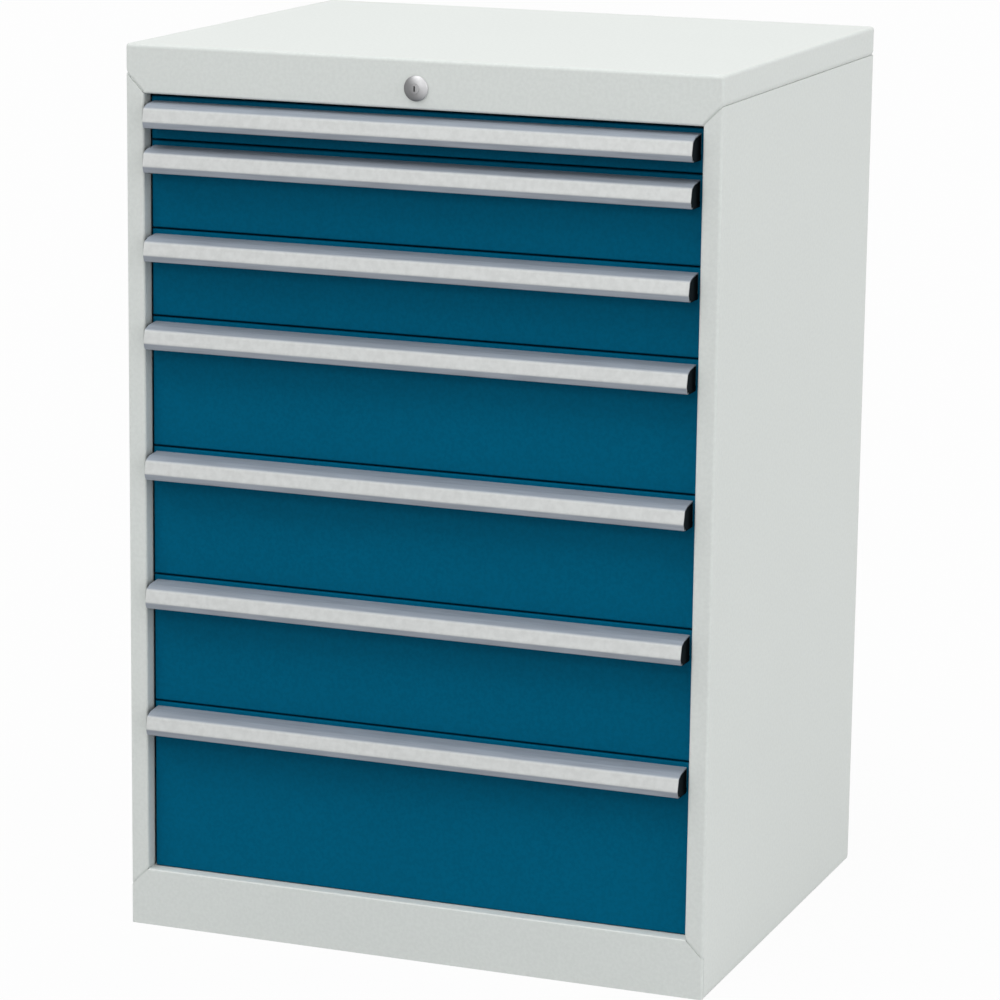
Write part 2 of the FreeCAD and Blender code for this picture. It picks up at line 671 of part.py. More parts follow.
def make_end_caps(number):
    """Plugs that fill the section of the handle, flush with its ends."""
    body = new_body(f"end_cap_right_{number}")
    place_on_front(body, number)
    side = "(handle_wall + cap_fit)"
    curl = "handle_curl + handle_foot + cap_fit - handle_depth"
    outline = [
        (f"-{side}", f"-{side}"),
        ("-handle_shoulder", f"-handle_slope - {side}"),
        (f"{side} + handle_lean - handle_depth", f"-3 * handle_slope - {side}"),
        (f"{side} - handle_depth", "-handle_face"),
        (f"{side} + handle_foot - handle_depth", f"{side} - handle_height"),
        (curl, f"{side} - handle_height"),
        (curl, "-handle_height"),
        ("0", "-handle_height"),
        ("0", "-handle_web - cap_fit"),
        (f"-{side}", "-handle_web - cap_fit"),
    ]
    add_solid(body, "plug", "YZ", [outline], "handle_half - cap_depth", "cap_depth")
    grouped(f"end_caps_{number}", [body, mirrored(body, f"end_cap_left_{number}")])


# Lock. The key turns a plug, a shaft runs back to a crank, and the crank lifts a bar whose
# hooks rise in front of the catches on the drawers.


def revolve_section(body, name, points):
    """Revolve an outline of (radius, depth) points about the lock's axis."""
    sketch = new_sketch(body, name + "_outline", "XY", "0")
    add_outline(sketch, points)
    turn = body.newObject("PartDesign::Revolution", name)
    turn.Profile = sketch
    turn.ReferenceAxis = (sketch, ["V_Axis"])
    turn.Angle = 360
    doc.recompute()
    return turn


def place_on_lock(body):
    """Move a body's origin to the lock's axis at the face of the housing."""
    body.setExpression("Placement.Base.z", bound("lock_level"))


def make_lock_housing():
    """Head with a shallow cone outside the fascia, and a barrel behind it, bored for the plug."""
    body = new_body("lock_housing")
    place_on_lock(body)
    bore = "plug_diameter / 2 + lock_fit"
    section = [
        ("lock_head / 2", "-seat_gap"),
        ("lock_head / 2", "-seat_gap - lock_rim"),
        (bore, "-seat_gap - lock_rim - lock_rise"),
        (bore, "lock_length"),
        ("lock_barrel / 2", "lock_length"),
        ("lock_barrel / 2", "-seat_gap"),
    ]
    revolve_section(body, "turned", section)
    keep(body, "lock_housing")


def make_lock_plug():
    """Turning plug with the key slot in its face."""
    body = new_body("lock_plug")
    place_on_lock(body)
    front = "-seat_gap - lock_rim - lock_rise + lock_fit"
    add_solid(body, "plug", "XZ", [], front, f"lock_length + seat_gap - ({front})",
              [("0", "0", "plug_diameter / 2")])
    slot = rectangle(
        ("-keyway_width / 2", "-keyway_height / 2"), ("keyway_width / 2", "keyway_height / 2")
    )
    cut_solid(body, "keyway", "XZ", [slot], front, "keyway_depth")
    keep(body, "lock_plug")


def make_lock_nut():
    """Hexagon nut that clamps the barrel behind the fascia."""
    body = new_body("lock_nut")
    place_on_lock(body)
    half = "nut_width / 2"
    reach = "nut_width / sqrt(3)"
    corners = [
        (reach, "0"), (f"{reach} / 2", half), (f"-{reach} / 2", half), (f"-{reach}", "0"),
        (f"-{reach} / 2", f"-{half}"), (f"{reach} / 2", f"-{half}"),
    ]
    add_solid(body, "nut", "XZ", [corners], "housing_sheet + seat_gap", "nut_thickness",
              [("0", "0", "lock_barrel / 2 + lock_fit")])
    keep(body, "lock_nut")


def make_lock_shaft():
    """Round shaft behind the plug with the crank arm and its pin at the far end."""
    body = new_body("lock_shaft")
    place_on_lock(body)
    start = "lock_length + 2 * seat_gap"
    add_solid(body, "shaft", "XZ", [], start, f"crank_back - ({start})",
              [("0", "0", "shaft_diameter / 2")])
    half = "crank_width / (2 * sqrt(2))"
    reach = f"crank_offset + {half}"
    arm = [
        (f"-2 * {half}", "0"), ("crank_offset", f"-({reach}) - {half}"),
        (f"{reach} + {half}", "-crank_offset"), ("0", f"2 * {half}"),
    ]
    add_solid(body, "crank", "XZ", [arm], "crank_back - crank_thickness", "crank_thickness")
    pin = ("crank_offset", "-crank_offset", "crank_pin / 2")
    add_solid(body, "pin", "XZ", [], "crank_back - crank_thickness / 2",
              "crank_thickness / 2 + guide_fit + bar_thickness + crank_pin / 2", [pin])
    keep(body, "lock_shaft")


def make_shaft_bracket():
    """Angle under the top cover that carries the rear end of the shaft."""
    body = new_body("shaft_bracket")
    top = "cabinet_height - housing_sheet - seat_gap"
    sheet = "bracket_thickness"
    angle = [
        ("bracket_back", "lock_level - bracket_width / 2"), ("bracket_back", top),
        (f"bracket_back - bracket_width", top), (f"bracket_back - bracket_width", f"{top} - {sheet}"),
        (f"bracket_back - {sheet}", f"{top} - {sheet}"),
        (f"bracket_back - {sheet}", "lock_level - bracket_width / 2"),
    ]
    add_solid(body, "angle", "YZ", [angle], "-bracket_width / 2", "bracket_width")
    bearing = ("0", "lock_level", "shaft_diameter / 2 + lock_fit")
    cut_solid(body, "bearing", "XZ", [], f"bracket_back - {sheet} - seam", f"{sheet} + 2 * seam",
              [bearing])
    keep(body, "shaft_bracket")


def make_locking_bar():
    """Upright bar with a slot for the crank pin and a hook for every drawer."""
    body = new_body("locking_bar")
    half = "bar_width / 2"
    foot = "hook_7 - bar_foot"
    head = "slot_middle + crank_pin / 2 + pin_fit + bar_head"
    blade = rectangle((f"bar_middle - {half}", foot), (f"bar_middle + {half}", head))
    add_solid(body, "blade", "XZ", [blade], "bar_face", "bar_thickness")
    swing = "(crank_radius - crank_offset) / 2 + crank_pin / 2 + pin_fit"
    slot = rectangle(
        (f"bar_middle - ({swing})", "slot_middle - crank_pin / 2 - pin_fit"),
        (f"bar_middle + {swing}", "slot_middle + crank_pin / 2 + pin_fit"),
    )
    cut_solid(body, "crank_slot", "XZ", [slot], "bar_face - seam", "bar_thickness + 2 * seam")
    tip = "bar_face - bar_hook"
    hooks = [
        [
            ("bar_face + bar_thickness / 2", f"hook_{n}"), (tip, f"hook_{n}"),
            (tip, f"hook_{n} + bar_hook_tip"), (f"{tip} + bar_thickness", f"hook_{n} + bar_hook_tip"),
            (f"{tip} + bar_thickness", f"hook_{n} + bar_thickness"),
            ("bar_face + bar_thickness / 2", f"hook_{n} + bar_thickness"),
        ]
        for n in DRAWERS
    ]
    add_solid(body, "hooks", "YZ", hooks, "bar_middle - bar_hook_width / 2", "bar_hook_width")
    keep(body, "locking_bar")


def make_bar_guides():
    """Guide blocks on the back panel. The bar rests on them with its hooks."""
    back = "inner_back - back_sheet - seat_gap"
    guides = []
    for number in (2, 5, 7):
        body = new_body(f"bar_guide_{number}")
        side = "(bar_width / 2 + guide_fit)"
        block = rectangle(
            (f"bar_middle - {side} - guide_wall", "bar_face - guide_fit - bar_thickness"),
            (f"bar_middle + {side} + guide_wall", back),
        )
        window = rectangle(
            (f"bar_middle - ({side})", "bar_face - guide_fit"),
            (f"bar_middle + {side}", "bar_face + bar_thickness + guide_fit"),
        )
        foot = f"hook_{number} - guide_fit - guide_height"
        add_solid(body, "block", "XY", [block, window], foot, "guide_height")
        guides.append(body)
    grouped("bar_guides", guides)


make_side_panels()
make_top_cover()
make_base()
make_back_panel()
make_uprights()

fixed_right = [make_fixed_runner(n) for n in DRAWERS]
grouped("fixed_runners_right", fixed_right)
grouped("fixed_runners_left", [mirrored(body, f"fixed_runner_left_{n}")
                               for n, body in zip(DRAWERS, fixed_right)])

for n in DRAWERS:
    make_drawer_front(n)
    make_drawer_box(n)
    make_handle(n)
    make_end_caps(n)
    middle = make_middle_runner(n)
    grouped(f"middle_runners_{n}", [middle, mirrored(middle, f"middle_runner_left_{n}")])
    inner = make_drawer_runner(n)
    grouped(f"drawer_runners_{n}", [inner, mirrored(inner, f"drawer_runner_left_{n}")])

make_lock_housing()
make_lock_plug()
make_lock_nut()
make_lock_shaft()
make_shaft_bracket()
make_locking_bar()
make_bar_guides()

doc.recompute()

for item in doc.Objects:
    if {"Invalid", "Error"} & set(item.State):
        raise RuntimeError(f"{item.Label} failed: {item.State}")
for part in SUBPARTS:
    if part.Shape.isNull() or not part.Shape.isValid():
        raise RuntimeError(f"{part.Label} has no valid shape")
    part.Shape.exportStep(f"parts/{part.Label}.step")
    print(f"{part.Label}: {len(part.Shape.Solids)} solids, {part.Shape.Volume / 1000:.1f} cm3")
print(f"{len(SUBPARTS)} sub-parts")
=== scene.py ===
import math

import bmesh
import bpy
import numpy as np
from mathutils import Matrix, Vector


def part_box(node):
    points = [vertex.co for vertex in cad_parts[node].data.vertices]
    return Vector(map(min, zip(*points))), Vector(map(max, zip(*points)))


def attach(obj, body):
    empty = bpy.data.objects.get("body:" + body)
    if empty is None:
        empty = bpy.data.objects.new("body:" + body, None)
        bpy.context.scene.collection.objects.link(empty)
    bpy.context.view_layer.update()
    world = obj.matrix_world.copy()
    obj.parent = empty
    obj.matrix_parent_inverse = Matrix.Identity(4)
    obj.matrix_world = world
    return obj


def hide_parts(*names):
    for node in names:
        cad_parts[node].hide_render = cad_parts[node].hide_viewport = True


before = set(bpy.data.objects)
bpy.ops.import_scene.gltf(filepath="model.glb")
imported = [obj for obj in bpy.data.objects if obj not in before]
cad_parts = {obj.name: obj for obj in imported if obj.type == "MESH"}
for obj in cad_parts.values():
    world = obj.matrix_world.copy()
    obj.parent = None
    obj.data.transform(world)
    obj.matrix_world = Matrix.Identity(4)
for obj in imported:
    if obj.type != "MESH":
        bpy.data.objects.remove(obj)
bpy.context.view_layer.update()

bl_info = {
    "name": "Drawer cabinet",
    "version": (1, 0, 0),
    "blender": (4, 5, 0),
    "location": "3D View > Sidebar > Cabinet",
    "description": "Dresses a steel drawer cabinet with folded panels, grip handles and finishes",
    "category": "Object",
}

DRAWERS = range(1, 8)
MM = 0.001

# Places taken from the frame, in metres.
PANEL_LOW, PANEL_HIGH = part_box("side_panel_right")
HOOD_LOW, HOOD_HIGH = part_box("top_cover")
LOCK_LOW, LOCK_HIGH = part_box("lock_housing")
HALF_WIDTH = PANEL_HIGH.x
OPENING_HALF = PANEL_LOW.x
FRONT_Y = PANEL_LOW.y
BACK_Y = PANEL_HIGH.y
FLANGE = HALF_WIDTH - OPENING_HALF
OPENING_TOP = HOOD_LOW.z
OPENING_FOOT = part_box("base_pan")[1].z
LOCK_CENTRE = (LOCK_LOW + LOCK_HIGH) / 2
LOCK_RADIUS = (LOCK_HIGH.x - LOCK_LOW.x) / 2

# How far from a bend an extra point keeps the flat beside it flat in shading, and the width of
# a step that stands for a sudden change.
FLAT_RELIEF = 0.4 * MM
HAIR = 0.01 * MM

# Lengths of the grip's section that its end caps share: the web behind the fingers and the lip
# at the lower edge.
GRIP_WEB = 23 * MM
GRIP_LIP = 6 * MM

# The lock's dome is an ellipse's end, cut where its half width is this share of the whole.
DOME_CUT = 0.92


def linear(red, green, blue):
    """The scene's own colour for an sRGB colour with channels from 0 to 255."""
    channels = []
    for channel in (red, green, blue):
        share = channel / 255
        channels.append(share / 12.92 if share <= 0.04045 else ((share + 0.055) / 1.055) ** 2.4)
    return tuple(channels)


# Settings that a user would change.


class CabinetSizes(bpy.types.PropertyGroup):
    """Sizes of the folded sheets and the handles."""

    sheet: bpy.props.FloatProperty(
        name="Housing sheet", description="Thickness of the housing's sheet",
        default=1.5 * MM, unit="LENGTH")
    housing_bend: bpy.props.FloatProperty(
        name="Housing bend", description="Outer radius of the housing's upright bends",
        default=3.6 * MM, unit="LENGTH")
    hood_bend: bpy.props.FloatProperty(
        name="Top bend", description="Outer radius of the top cover's upper edges",
        default=4 * MM, unit="LENGTH")
    opening_bend: bpy.props.FloatProperty(
        name="Opening bend", description="Outer radius of the folds round the opening",
        default=2.6 * MM, unit="LENGTH")
    seam_depth: bpy.props.FloatProperty(
        name="Seam depth", description="How far the top cover's edge curls in along a seam",
        default=2.2 * MM, unit="LENGTH")
    seam_curl: bpy.props.FloatProperty(
        name="Seam curl", description="Height of the curl of the upper panel along a seam",
        default=5.5 * MM, unit="LENGTH")
    foot_depth: bpy.props.FloatProperty(
        name="Foot depth", description="How far the foot of a side panel's flange curls in",
        default=0.9 * MM, unit="LENGTH")
    seam_lip: bpy.props.FloatProperty(
        name="Seam lip", description="Rounding of the lower panel's edge along a seam",
        default=0.2 * MM, unit="LENGTH")
    seam: bpy.props.FloatProperty(
        name="Seam", description="Gap between two panels that meet",
        default=0.2 * MM, unit="LENGTH")
    flange_return: bpy.props.FloatProperty(
        name="Flange return", description="Depth of the folds round the opening",
        default=18 * MM, unit="LENGTH")
    front_sheet: bpy.props.FloatProperty(
        name="Drawer sheet", description="Thickness of a drawer front's sheet",
        default=1.2 * MM, unit="LENGTH")
    front_bend: bpy.props.FloatProperty(
        name="Drawer bend", description="Outer radius round a drawer front",
        default=2 * MM, unit="LENGTH")
    front_lip: bpy.props.FloatProperty(
        name="Drawer lip", description="Fold at the back of a drawer front",
        default=12 * MM, unit="LENGTH")
    handle_wall: bpy.props.FloatProperty(
        name="Handle wall", description="Wall of the handle profile",
        default=2 * MM, unit="LENGTH")
    cap_round: bpy.props.FloatProperty(
        name="Cap rounding", description="Rounding of an end cap's outer edge",
        default=0.4 * MM, unit="LENGTH")


class CabinetFinishes(bpy.types.PropertyGroup):
    """Colours of the finishes."""

    housing: bpy.props.FloatVectorProperty(
        name="Housing", description="Powder coat of the housing",
        subtype="COLOR", default=linear(209, 213, 210))
    drawers: bpy.props.FloatVectorProperty(
        name="Drawer fronts", description="Powder coat of the drawer fronts",
        subtype="COLOR", default=linear(0, 89, 120))
    aluminium: bpy.props.FloatVectorProperty(
        name="Handle profile", description="Satin anodised aluminium",
        subtype="COLOR", default=linear(140, 146, 154))
    # The handle face's colour is partly its finish and partly a painted highlight: much lighter
    # than the profile, for the light that the face catches from the front.
    band: bpy.props.FloatVectorProperty(
        name="Handle face", description="Brushed face of the handle",
        subtype="COLOR", default=linear(196, 198, 197))
    ledge: bpy.props.FloatVectorProperty(
        name="Handle top", description="Matt top of the handle",
        subtype="COLOR", default=linear(140, 148, 158))
    caps: bpy.props.FloatVectorProperty(
        name="End caps", description="Moulded plastic of the end caps",
        subtype="COLOR", default=linear(25, 30, 33))
    zinc: bpy.props.FloatVectorProperty(
        name="Runners", description="Zinc plating of the runners and uprights",
        subtype="COLOR", default=linear(186, 190, 193))
    chrome: bpy.props.FloatVectorProperty(
        name="Lock", description="Plating of the lock",
        subtype="COLOR", default=linear(142, 142, 143))
    guides: bpy.props.FloatVectorProperty(
        name="Bar guides", description="Moulded plastic of the bar guides",
        subtype="COLOR", default=linear(222, 221, 214))


class CabinetStage(bpy.types.PropertyGroup):
    """Camera and light."""

    camera_place: bpy.props.FloatVectorProperty(
        name="Camera place", description="Where the camera stands", subtype="TRANSLATION",
        unit="LENGTH", default=(1.6648, -4.3644, 1.5085))
    camera_azimuth: bpy.props.FloatProperty(
        name="Camera azimuth", description="Turn of the view from +Y towards +X",
        unit="ROTATION", default=-0.365089)
    camera_elevation: bpy.props.FloatProperty(
        name="Camera elevation", description="Rise of the view over the horizon",
        unit="ROTATION", default=-0.216785)
    camera_roll: bpy.props.FloatProperty(
        name="Camera roll", description="Turn of the frame about the view",
        unit="ROTATION", default=0.0125516)
    camera_lens: bpy.props.FloatProperty(
        name="Lens", description="Focal length in millimetres on a 36 mm sensor", default=146.64)
    sky_light: bpy.props.FloatProperty(
        name="Sky light", description="Strength of the light from all round", default=0.62)
    front_lamp: bpy.props.FloatVectorProperty(
        name="Front lamp", description="From the cabinet to the lamp in front, as long as bright",
        subtype="XYZ", default=(-0.12, -0.18, 0.47))
    side_lamp: bpy.props.FloatVectorProperty(
        name="Side lamp", description="From the cabinet to the lamp beside, as long as bright",
        subtype="XYZ", default=(0.355, 0, 0.11))
    lamp_spread: bpy.props.FloatProperty(
        name="Lamp size", description="Angle that each of the two lamps spans in the sky",
        unit="ROTATION", default=math.radians(45))
    spot_power: bpy.props.FloatProperty(
        name="Spot", description="Power of the small lamp that the lock mirrors, in watts",
        default=8)


# Surfaces. A grid holds points in rows and columns, and every shape here is one grid: a
# profile carried along a path, or a profile turned about an axis.


def quads(rows, columns, wrap):
    """Faces between neighbouring rows and columns. wrap joins the last column to the first."""
    index = np.arange(rows * columns).reshape(rows, columns)
    if wrap:
        index = np.hstack([index, index[:, :1]])
    corners = (index[:-1, :-1], index[:-1, 1:], index[1:, 1:], index[1:, :-1])
    return np.stack(corners, axis=-1).reshape(-1, 4)


def closed_grid(rows, columns):
    """Faces of a grid whose rows are rings, with one more face over each end."""
    faces = list(quads(rows, columns, wrap=True))
    faces.append(np.arange(columns)[::-1])
    faces.append(np.arange(columns) + (rows - 1) * columns)
    return faces


def signed_volume(points, faces):
    """Sum over all faces of a fan of tetrahedra with their top at the origin."""
    total = 0.0
    by_size = {}
    for face in faces:
        by_size.setdefault(len(face), []).append(face)
    for size, group in by_size.items():
        corners = points[np.array(group)]
        for n in range(1, size - 1):
            cross = np.cross(corners[:, n], corners[:, n + 1])
            total += float((corners[:, 0] * cross).sum())
    return total


def add_object(name, data):
    """A new object in the scene."""
    thing = bpy.data.objects.new(name, data)
    bpy.context.scene.collection.objects.link(thing)
    return thing


def make_object(name, points, faces, sharp_over=math.radians(32)):
    """A smooth-shaded object whose faces point outwards, with edges sharp over an angle."""
    faces = [list(map(int, face)) for face in faces]
    if signed_volume(points, faces) < 0:
        faces = [face[::-1] for face in faces]
    mesh = bpy.data.meshes.new(name)
    mesh.from_pydata(points.tolist(), [], faces)
    mesh.validate()
    mesh.shade_smooth()
    mesh.set_sharp_from_angle(angle=sharp_over)
    return add_object(name, mesh)


def settle(piece, body, slot_name, materials, *nodes):
    """Give a finished piece its materials, its body and the nodes that it stands for."""
    for material in materials:
        piece.data.materials.append(material)
    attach(piece, body)
    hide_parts(*nodes)
    return piece


def turned_normals(before, after):
    """Right-hand normal between two directions of travel, long enough to hold both offsets."""
    first = np.array([before[1], -before[0]])
    second = np.array([after[1], -after[0]])
    return (first + second) / (1 + first @ second)


def rounded_route(corners, radii, closed, steps=6):
    """Points and right-hand normals along straight runs joined by arcs.

    At a corner of radius r that turns by angle a, the arc starts r * tan(a / 2) before the
    corner. Its points lie on the circle at equal steps of the direction of travel. A flat
    relief point on both sides keeps the shading of the straight runs flat."""
    corners = [np.array(corner, float) for corner in corners]
    count = len(corners)
    points, normals = [], []
    for n, (corner, radius) in enumerate(zip(corners, radii)):
        if not closed and n in (0, count - 1):
            run = corners[1] - corner if n == 0 else corner - corners[n - 1]
            run = run / np.linalg.norm(run)
            points.append(corner)
            normals.append(turned_normals(run, run))
            continue
        before = corner - corners[n - 1]
        after = corners[(n + 1) % count] - corner
        before = before / np.linalg.norm(before)
        after = after / np.linalg.norm(after)
        if not radius:
            points.append(corner)
            normals.append(turned_normals(before, after))
            continue
        side = before[0] * after[1] - before[1] * after[0]
        turn = math.atan2(side, before @ after)
        start = corner - before * radius * math.tan(abs(turn) / 2)
        heading = math.atan2(before[1], before[0]) + np.linspace(0, turn, steps + 1)
        right = np.stack([np.sin(heading), -np.cos(heading)], axis=1)
        sign = math.copysign(1, turn)
        centre = start - sign * radius * right[0]
        arc = centre + sign * radius * right
        relief = min(FLAT_RELIEF, radius / 2)
        points += [start - before * relief, *arc, arc[-1] + after * relief]
        normals += [right[0], *right, right[-1]]
    return np.array(points), np.array(normals)


def quarter(steps=5):
    """Sine and cosine at equal steps of a quarter turn."""
    angle = np.linspace(0, math.pi / 2, steps + 1)
    return np.sin(angle), np.cos(angle)


def curled(inward, rise, steps=5):
    """Offsets (inset, advance) along an arc that leaves straight and ends inward after rise.

    Its radius is (rise * rise + inward * inward) / (2 * inward), and it turns by
    arcsin(rise / radius) in equal steps."""
    radius = (rise ** 2 + inward ** 2) / (2 * inward)
    turn = np.arcsin(np.minimum(rise / radius, 1))
    shares = np.linspace(0, 1, steps + 1)
    return [(radius * (1 - np.cos(turn * t)), radius * np.sin(turn * t)) for t in shares]


def folded_pan(outline, normals, wall, bend, depth, curl, reach):
    """Outer and inner skin of a plate whose rim is folded, as rows of (inset, depth).

    outline and normals are the rim seen square on. bend is the fold's radius across and
    along. depth, curl and reach hold one value per column: how deep the rim goes, the size of
    the curl at its end across and along, and how far its return comes in. The point is
    outline - inset * normal. Over a fold at angle t the inset is r * (1 - sin t) and the depth
    is r * (1 - cos t)."""
    columns = len(outline)
    across, along = bend
    sine, cosine = quarter()
    flat = np.ones(columns)
    rows = [(flat * (across + FLAT_RELIEF), flat * 0)]
    rows += [(flat * across * (1 - s), flat * along * (1 - c)) for s, c in zip(sine, cosine)]
    inward, rise = curl
    rows += [(flat * 0, flat * (along + FLAT_RELIEF)), (flat * 0, depth - rise - FLAT_RELIEF)]
    rows += [(inset, depth - rise + advance) for inset, advance in curled(inward, rise)]
    rows += [(np.minimum(inward + FLAT_RELIEF, reach), depth), (reach, depth)]
    folded = reach > 2 * wall
    rows += [(reach, depth - np.where(folded, wall, wall / 2)), (flat * wall, depth - wall)]
    rows += [
        (wall + (across - wall) * (1 - s) * flat, wall + (along - wall) * (1 - c) * flat)
        for s, c in zip(sine[::-1], cosine[::-1])
    ]
    rows += [(flat * (across + FLAT_RELIEF), flat * wall)]
    inset = np.array([row[0] for row in rows])
    down = np.array([row[1] for row in rows])
    plane = outline[None] - inset[..., None] * normals[None]
    return plane.reshape(-1, 2), down.reshape(-1), closed_grid(len(rows), columns)


def extruded(outline, ends):
    """A closed outline in the YZ plane carried along X, with a flat face at both ends."""
    along = np.repeat(np.array(ends, float), len(outline))
    points = np.column_stack([along, np.tile(outline, (len(ends), 1))])
    return points, closed_grid(len(ends), len(outline))


def over(values, low, high):
    """0 under low, 1 over high and a smooth rise between: t * t * (3 - 2 * t)."""
    share = np.clip((values - low) / (high - low), 0, 1)
    return share * share * (3 - 2 * share)


# Materials


class Signal:
    """A value socket in a node tree. Arithmetic on it adds Math nodes."""

    def __init__(self, graph, socket):
        self.graph = graph
        self.socket = socket

    def math(self, operation, first, second):
        return self.graph.node("ShaderNodeMath", {"operation": operation}, {0: first, 1: second})

    def __add__(self, other):
        return self.math("ADD", self, other)

    def __mul__(self, other):
        return self.math("MULTIPLY", self, other)

    def __sub__(self, other):
        return self.math("SUBTRACT", self, other)

    def __rsub__(self, other):
        return self.math("SUBTRACT", other, self)

    def over(self, low, high):
        """0 under low, 1 over high and a smooth rise between."""
        return self.graph.node(
            "ShaderNodeMapRange", {"interpolation_type": "SMOOTHSTEP"},
            {"Value": self, "From Min": low, "From Max": high})


class Graph:
    """A node tree, as a rule that of one new material."""

    def __init__(self, name):
        self.material = bpy.data.materials.new(name)
        self.material.use_nodes = True
        self.tree = self.material.node_tree
        self.shader = self.tree.nodes["Principled BSDF"]

    @classmethod
    def of(cls, tree):
        """A graph that adds to a tree that is there already."""
        graph = cls.__new__(cls)
        graph.tree = tree
        return graph

    def node(self, kind, settings, values, output=0):
        """Add a node, set its settings, then set or link its inputs."""
        node = self.tree.nodes.new(kind)
        for name, setting in settings.items():
            setattr(node, name, setting)
        for name, value in values.items():
            self.feed(node.inputs[name], value)
        return Signal(self, node.outputs[output])

    def feed(self, socket, value):
        """Link a signal to a socket, or set the socket's own value."""
        if isinstance(value, Signal):
            self.tree.links.new(value.socket, socket)
        else:
            socket.default_value = value

    def place(self, scale=(1, 1, 1)):
        """Object coordinates in metres, stretched by a scale."""
        coordinates = self.node("ShaderNodeTexCoord", {}, {}, "Object")
        return self.node("ShaderNodeMapping", {}, {"Vector": coordinates, "Scale": scale})

    def noise(self, scale, detail=2, stretch=(1, 1, 1), roughness=0.5):
        """Soft noise between 0 and 1 with a number of waves per metre."""
        values = {"Vector": self.place(stretch), "Scale": scale, "Detail": detail,
                  "Roughness": roughness}
        return self.node("ShaderNodeTexNoise", {}, values)

    def mix(self, share, first, second):
        """A colour between two colours."""
        settings = {"data_type": "RGBA"}
        return self.node("ShaderNodeMix", settings, {"Factor": share, 6: first, 7: second}, 2)

    def bump(self, height, distance, strength=1.0):
        """A normal raised by a height between 0 and 1."""
        values = {"Height": height, "Distance": distance, "Strength": strength}
        return self.node("ShaderNodeBump", {}, values)

    def finish(self, **values):
        """Set the shader's inputs. An underscore in a name stands for a space."""
        for name, value in values.items():
            self.feed(self.shader.inputs[name.replace("_", " ")], value)
        return self.material


def shade(colour, factor):
    """A colour made lighter or darker, with full alpha."""
    return tuple(min(channel * factor, 1) for channel in colour) + (1,)


def powder_coat(name, colour, contrast, gloss):
    """Baked powder coat: a fine pebbled skin, slightly uneven in colour and gloss."""
    graph = Graph(name)
    pebbles = graph.noise(scale=240, detail=2)
    grain = graph.noise(scale=2200, detail=0)
    cloud = graph.noise(scale=5, detail=4)
    speck = pebbles.over(0.3, 0.7) * 0.6 + cloud * 0.4
    return graph.finish(
        Base_Color=graph.mix(speck, shade(colour, 1 - contrast), shade(colour, 1 + contrast)),
        Roughness=pebbles * 0.12 + cloud * 0.06 + 0.4,
        Specular_IOR_Level=gloss,
        Normal=graph.bump(pebbles + grain * 0.25, 0.0001, 0.6),
    )


def grip_metal(name, colour, ledge, face):
    """Extruded aluminium with lines along X, a matt top and a mottled face with brushing marks,
    whose colour is painted lighter: partly its finish, partly a painted highlight for the light
    that it catches from the front.

    Two attributes of the mesh say how much of each point belongs to the top and the face."""
    graph = Graph(name)
    share = graph.node("ShaderNodeAttribute", {"attribute_name": "face_share"}, {}, "Fac")
    top = graph.node("ShaderNodeAttribute", {"attribute_name": "top_share"}, {}, "Fac")
    lines = graph.noise(scale=900, detail=2, stretch=(0.02, 1, 1))
    bands = graph.noise(scale=150, detail=3, stretch=(0.12, 1, 1))
    mottle = graph.noise(scale=130, detail=3, roughness=0.6)
    streaks = (lines * 0.4 + bands * 0.6).over(0.3, 0.7)
    drawn = graph.mix(streaks, shade(colour, 0.88), shade(colour, 1.12))
    matt = graph.mix(streaks, shade(ledge, 0.88), shade(ledge, 1.1))
    # Painted highlight: the face's colour is far lighter than the profile's, partly for its finish
    # and partly for the light that it catches from the front.
    brushed_and_lit = graph.mix(mottle.over(0.3, 0.7), shade(face, 0.945), shade(face, 1.035))
    return graph.finish(
        Base_Color=graph.mix(share, graph.mix(top, drawn, matt), brushed_and_lit),
        Metallic=0.8 - share * 0.5 - top * 0.65,
        Roughness=lines * 0.14 + share * 0.15 + top * 0.3 + 0.32,
        Normal=graph.bump(lines + mottle * share, 0.00003, 0.4),
    )


def zinc_plate(name, colour):
    """Bright zinc: cloudy patches with a faint cool and warm tint."""
    graph = Graph(name)
    cloud = graph.noise(scale=28, detail=4, roughness=0.6)
    lines = graph.noise(scale=500, detail=1, stretch=(1, 0.05, 1))
    red, green, blue = colour
    cool = (red * 0.9, green * 0.95, min(blue * 1.03, 1), 1)
    warm = (min(red * 1.04, 1), green, blue * 0.93, 1)
    return graph.finish(
        Base_Color=graph.mix(cloud.over(0.35, 0.65), cool, warm),
        Metallic=1.0,
        Roughness=cloud * 0.2 + lines * 0.08 + 0.24,
        Normal=graph.bump(lines + cloud, 0.00004, 0.3),
    )


